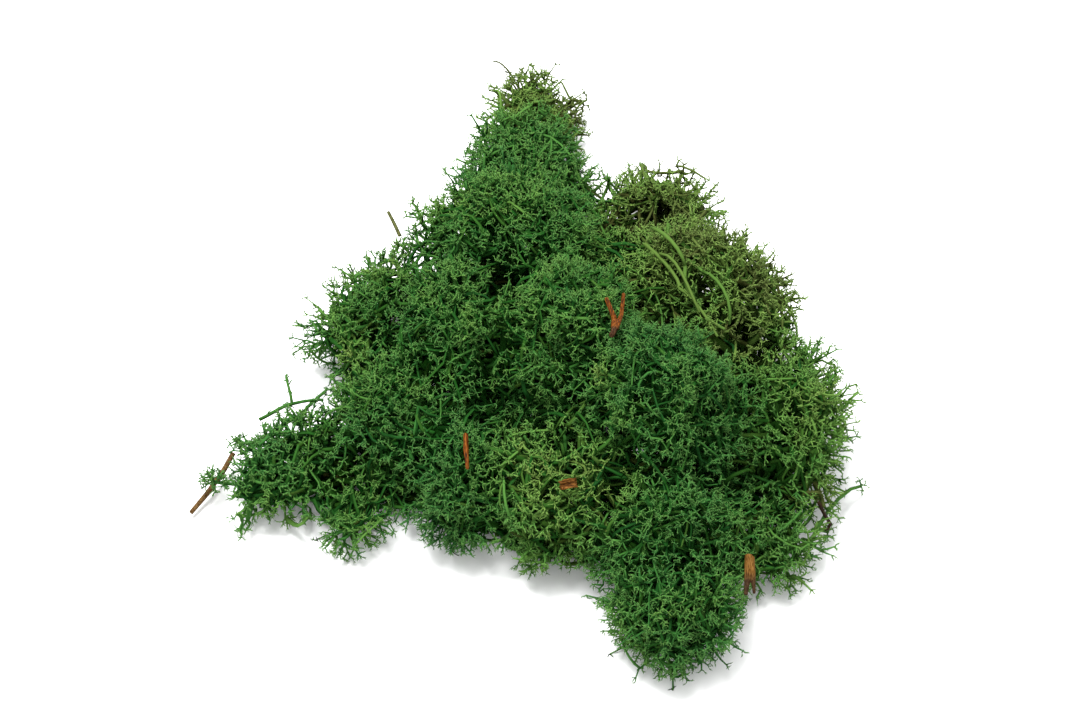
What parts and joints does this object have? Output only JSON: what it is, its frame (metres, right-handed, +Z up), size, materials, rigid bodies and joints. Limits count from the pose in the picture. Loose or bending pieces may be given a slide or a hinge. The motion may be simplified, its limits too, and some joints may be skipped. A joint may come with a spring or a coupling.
{
  "type": "moss clump",
  "caption": "Clump of preserved green reindeer moss: springy tufts of finely forked lichen pressed into one loose heap, with dry needles, bark and twigs caught in it; it lies on a table.",
  "frame": {"origin": "On the table, under the middle of the clump's bounding box", "axes": "+Z up from the table; +Y runs from the short lobe at the front to the long spire at the back, the longest extent; +X to the right"},
  "size_m": [0.1322, 0.1562, 0.0466],
  "materials": {
    "green_moss": "matte",
    "deep_green_moss": "matte",
    "olive_moss": "matte",
    "dry_needle": "satin",
    "brown_bark": "matte"
  },
  "bodies": {
    "root": {"spire_tip_tuft": "olive_moss", "spire_tuft": "green_moss", "back_right_tuft": "olive_moss", "crown_back_tuft": "green_moss", "upper_left_tuft": "green_moss", "left_lobe_tuft": "green_moss", "small_left_tuft": "green_moss", "left_front_tuft": "green_moss", "centre_left_tuft": "green_moss", "centre_right_tuft": "green_moss", "olive_tuft": "olive_moss", "right_tuft": "olive_moss", "cushion_tuft": "deep_green_moss", "front_dome_tuft": "deep_green_moss", "front_mid_tuft": "green_moss", "front_right_tuft": "deep_green_moss", "bottom_lobe_tuft": "deep_green_moss", "right_low_tuft": "green_moss", "stub_twig": "olive_moss", "needle_pair": "dry_needle", "straight_needle": "dry_needle", "split_splinter": "brown_bark", "bark_flake": "brown_bark", "left_twig": "brown_bark", "root_hook": "brown_bark"}
  },
  "joints": []
}
